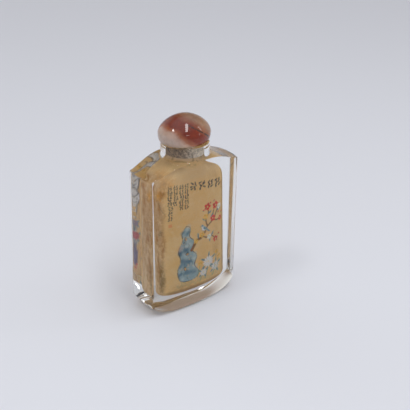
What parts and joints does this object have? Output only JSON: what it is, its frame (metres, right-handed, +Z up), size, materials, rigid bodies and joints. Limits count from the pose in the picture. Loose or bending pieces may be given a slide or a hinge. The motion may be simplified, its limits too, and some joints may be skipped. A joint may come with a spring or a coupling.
{
  "type": "snuff bottle",
  "caption": "Small upright rectangular crystal snuff bottle, hollow and painted on the inside, with a short round neck and a loose domed agate stopper.",
  "frame": {"origin": "centre of the flat base, on the surface that the bottle stands on", "axes": "+Z up along the bore, X across the width, -Y towards the main painted face"},
  "size_m": [0.0416, 0.018, 0.0766],
  "materials": {
    "crystal": "polished clear outside, painted on the wall of the cavity, ground in the bore",
    "agate": "polished, banded red-brown and milky"
  },
  "bodies": {
    "root": {"bottle": "crystal", "stopper": "agate"}
  },
  "joints": []
}
